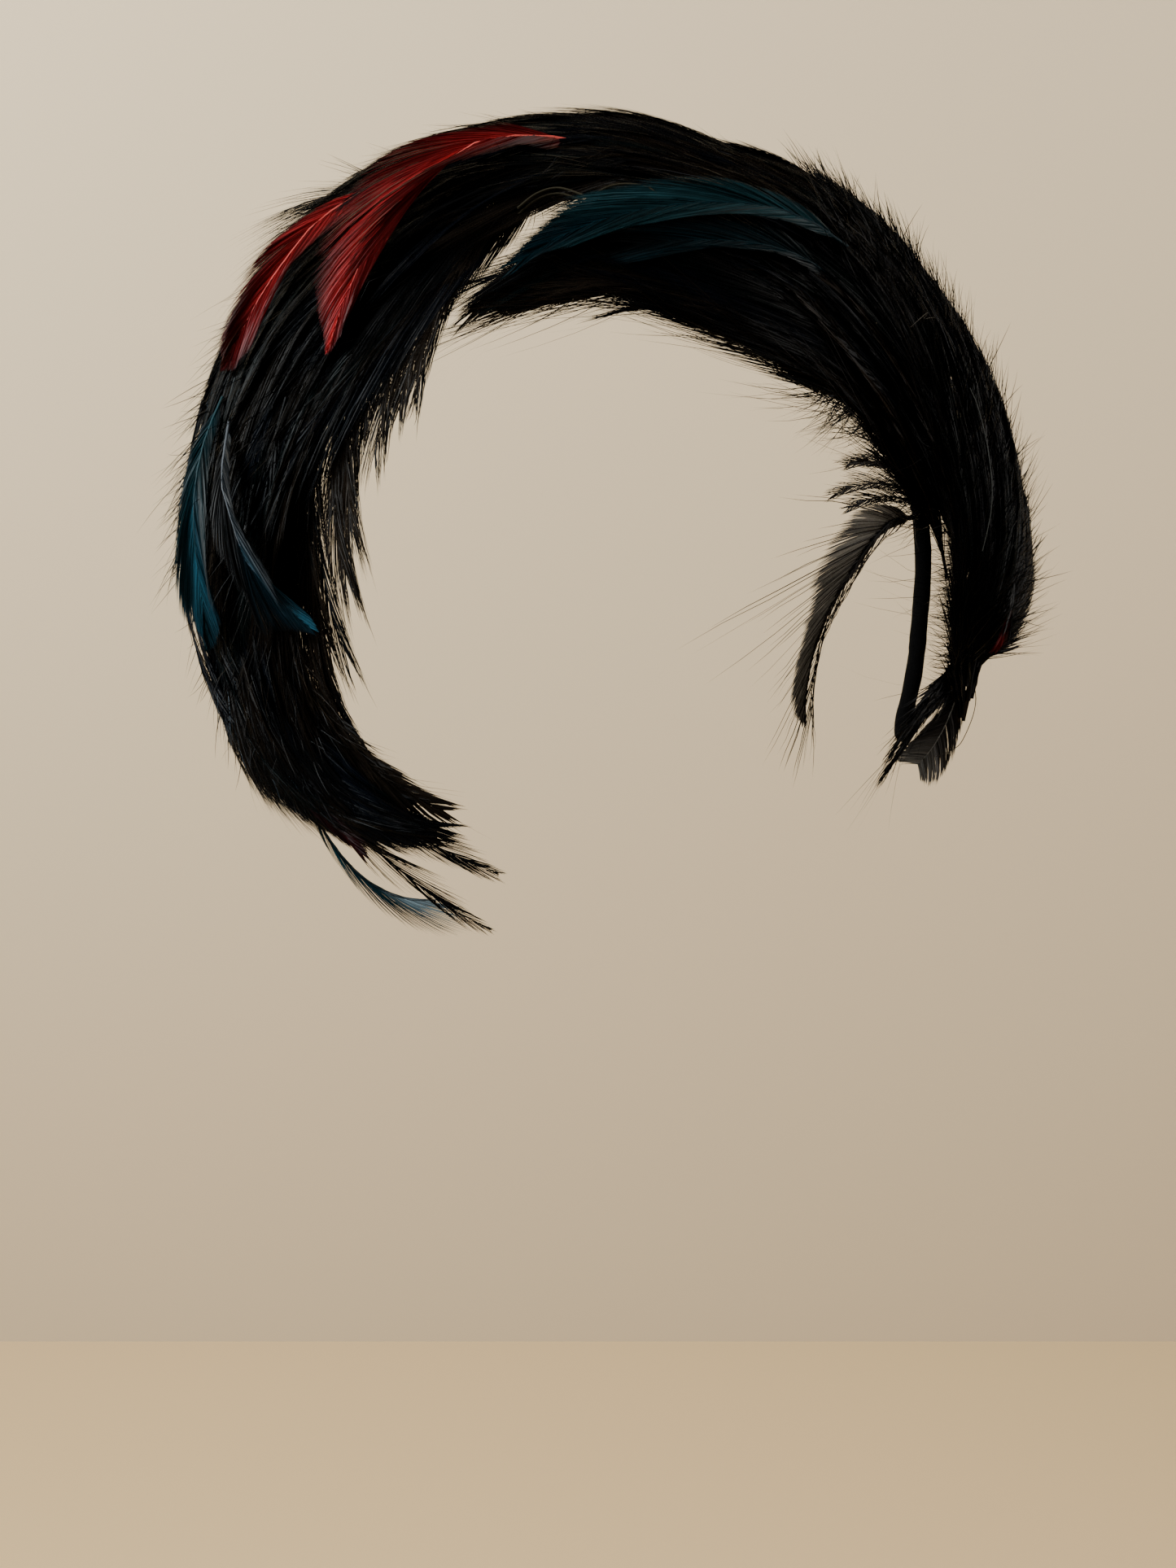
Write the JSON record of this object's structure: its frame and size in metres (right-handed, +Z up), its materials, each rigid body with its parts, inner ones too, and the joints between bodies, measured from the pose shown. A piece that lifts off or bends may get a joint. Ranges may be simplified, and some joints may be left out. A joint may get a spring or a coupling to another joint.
{
  "type": "feather fascinator",
  "caption": "Curved crown headpiece of black cock feathers on a velvet-covered wire loop, with red and teal hackles, sweeping from one temple over the head to the opposite cheek.",
  "frame": {"origin": "the crown of the head, on the skin under the middle of the band", "axes": "+Z up, -Y the way the face looks, +X the wearer's left"},
  "size_m": [0.1943, 0.1295, 0.1512],
  "materials": {
    "velvet_tube": "black velvet tube, matt",
    "black_feather": "black cock feather with a green and blue sheen",
    "brown_feather": "dark brown feather, matt",
    "red_feather": "dyed red hackle, satin",
    "teal_feather": "dyed teal hackle, satin"
  },
  "bodies": {
    "root": {"wire_frame": "velvet_tube", "left_temple_tier": "black_feather", "crown_tier": "black_feather", "right_side_tier": "black_feather", "right_cheek_tier": "black_feather", "forehead_spray": "black_feather", "red_feather_long": "red_feather", "red_feather_short": "red_feather", "red_feather_temple": "red_feather", "red_feather_cheek": "red_feather", "teal_feather_upper": "teal_feather", "teal_feather_lower": "teal_feather", "teal_feather_forehead": "teal_feather", "teal_feather_cheek": "teal_feather", "stray_hackle": "black_feather", "end_leaf": "brown_feather"}
  },
  "joints": []
}
